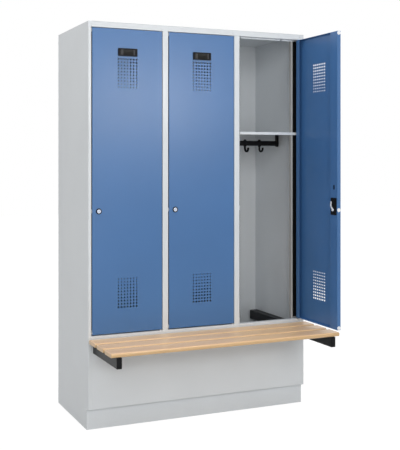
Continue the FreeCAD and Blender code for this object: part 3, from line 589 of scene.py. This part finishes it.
def pocket_shade_strip(bay):
    """Black strip, painted shade, that lines the pocket on the hinge side: a low pillow profile carried up
    the pocket.
    """
    leg_inset, wall_inset, web_inset, end_gap = 0.021, 0.002, 0.0188, 0.004
    thickness, corner = 0.0024, 0.0009
    name = BAYS[bay]
    box_low, box_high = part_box(f"hinge_stop_{name}")
    leg, wall = box_low[0] + leg_inset, box_high[0] - wall_inset
    levels = np.linspace(box_low[2] + end_gap, box_high[2] - end_gap, STRIP_STEPS)
    path = upright((leg + wall) / 2, box_low[1] + web_inset, levels)
    shells = [sweep(path, ACROSS, rounded_loop(wall - leg, thickness, corner, steps=5))]
    add_piece(f"pocket_shade_strip_{name}", shells, PAINTED_SHADE_STRIP, "cabinet")


def edge_shade_strip(bay):
    """Black strip on the frame beside the door's free edge, painted shade in the gap there: a pillow profile
    carried up between the bolts.
    """
    inset, behind = 0.0168, 0.0075
    width, depth, corner, bolt_gap = 0.0030, 0.0090, 0.0010, 0.012
    x, y = LEFT_SIDE + bay * BAY_WIDTH + inset, FRONT + behind
    profile = rounded_loop(width, depth, corner, steps=5)
    shells = []
    for low, high in zip(BOLT_LEVELS, BOLT_LEVELS[1:]):
        levels = np.linspace(low + bolt_gap, high - bolt_gap, STRIP_STEPS)
        shells.append(sweep(upright(x, y, levels), ACROSS, profile))
    name = BAYS[bay]
    add_piece(f"edge_shade_strip_{name}", shells, PAINTED_SHADE_STRIP, "cabinet")


for bay in range(len(BAYS)):
    pocket_shade_strip(bay)
    edge_shade_strip(bay)
    lock_rings(bay)
    cam_lever(bay)
    slot_plug(bay)
    bolt_guides(bay)
    label_cover(bay)
    for number in HOOK_NUMBERS:
        coat_hook(bay, number)


# Floor, light and camera
def studio_floor():
    """Flat pale floor, a grid of points just under height zero, that looks white to the camera and keeps the
    shadow. The white glow takes a larger share away from the locker."""
    reach, lines, level, pale = 14.0, 15, -0.0004, (0.60, 0.60, 0.60, 1)
    glow_strength, near, far, near_share, far_share = 1.125, 1.0, 3.0, 0.85, 0.95
    side = np.linspace(-reach, reach, lines)
    x, y = np.meshgrid(side, side, indexing="ij")
    points = np.stack([x, y, np.full_like(x, level)], axis=-1).reshape(-1, 3)
    mesh = bpy.data.meshes.new("studio_floor")
    mesh.from_pydata(points.tolist(), [], grid_faces(lines, lines)[:, ::-1].tolist())
    material, tree, shader = new_material("studio_floor", Roughness=0.9, Specular_IOR_Level=0.0)
    shader.inputs["Base Color"].default_value = pale
    glow = add_node(tree, "ShaderNodeEmission", {"Color": (1, 1, 1, 1), "Strength": glow_strength})
    length = add_node(tree, "ShaderNodeVectorMath", {0: object_place(tree)}, operation="LENGTH")
    away = remap(tree, length.outputs["Value"], near, far, near_share, far_share)
    share = math_node(tree, "MULTIPLY", seen_plainly(tree), away)
    both = add_node(tree, "ShaderNodeMixShader", {0: share, 1: shader.outputs[0], 2: glow.outputs[0]})
    tree.links.new(both.outputs[0], tree.nodes["Material Output"].inputs["Surface"])
    mesh.materials.append(material)
    floor = bpy.data.objects.new("studio_floor", mesh)
    bpy.context.scene.collection.objects.link(floor)


def studio_world():
    """Even soft light from all round, seen as plain white."""
    tint, strength = (0.985, 0.992, 1.0, 1), 0.06
    world = bpy.data.worlds.new("studio")
    bpy.context.scene.world = world
    world.use_nodes = True
    tree = world.node_tree
    soft = tree.nodes["Background"]
    soft.inputs["Color"].default_value = tint
    soft.inputs["Strength"].default_value = strength
    white = add_node(tree, "ShaderNodeBackground", {"Color": (1, 1, 1, 1), "Strength": 1.0})
    seen = seen_plainly(tree)
    both = add_node(tree, "ShaderNodeMixShader", {0: seen, 1: soft.outputs[0], 2: white.outputs[0]})
    tree.links.new(both.outputs[0], tree.nodes["World Output"].inputs["Surface"])


def soft_box(name, place, aim, size, power):
    """Rectangular lamp at a place, turned towards its aim."""
    lamp = bpy.data.lights.new(name, "AREA")
    lamp.shape = "RECTANGLE"
    lamp.size, lamp.size_y = size
    lamp.energy = power
    thing = bpy.data.objects.new(name, lamp)
    thing.location = place
    away = np.subtract(place, aim)
    flat = math.hypot(away[0], away[1])
    thing.rotation_euler = (math.atan2(flat, away[2]), 0, math.atan2(away[0], -away[1]))
    bpy.context.scene.collection.objects.link(thing)


def photo_camera():
    """Level camera at the photograph's place: focal length and principal point are in pixels of its frame."""
    frame_width, frame_height, sensor = 400, 450, 36.0
    focal, middle_x, middle_y, yaw = 816.3223, 140.0, 159.6774, -0.387
    place = (-1.8340638, -3.9267767, 1.2895557)
    camera = bpy.data.cameras.new("camera")
    camera.sensor_width = sensor
    camera.lens = focal * sensor / frame_height
    camera.shift_x = (frame_width / 2 - middle_x) / frame_height
    camera.shift_y = (middle_y - frame_height / 2) / frame_height
    camera.clip_end = 100
    thing = bpy.data.objects.new("camera", camera)
    thing.location = place
    thing.rotation_euler = (math.pi / 2, 0, yaw)
    bpy.context.scene.collection.objects.link(thing)
    bpy.context.scene.camera = thing


studio_floor()
studio_world()
soft_box("left_key", (-2.6, -4.3, 2.3), (0.0, -0.2, 1.2), (2.4, 2.4), 56.0)
soft_box("camera_fill", (-1.4, -4.8, 2.5), (0.2, -0.2, 1.2), (2.2, 2.2), 40.0)
soft_box("low_front", (-0.6, -4.8, 0.8), (0.0, -0.3, 0.6), (2.4, 1.0), 24.0)
soft_box("high_front", (0.4, -4.4, 3.6), (0.0, -0.2, 0.9), (3.0, 1.6), 14.0)
soft_box("door_gloss", (1.30, -4.1, 1.92), (0.0, -0.25, 1.5), (1.5, 0.6), 29.0)
soft_box("overhead", (0.0, -0.9, 4.2), (0.0, -0.5, 0.4), (3.0, 1.6), 54.0)
soft_box("left_side", (-3.6, 0.4, 3.0), (-0.6, 0.0, 1.2), (2.0, 2.0), 45.0)
soft_box("right_side", (3.8, 1.3, 2.6), (0.6, 0.1, 1.1), (2.0, 2.0), 55.0)
soft_box("back_fill", (0.6, 4.4, 2.6), (0.0, 0.25, 1.0), (2.4, 2.4), 100.0)
photo_camera()
bpy.context.scene.view_settings.view_transform = "Standard"
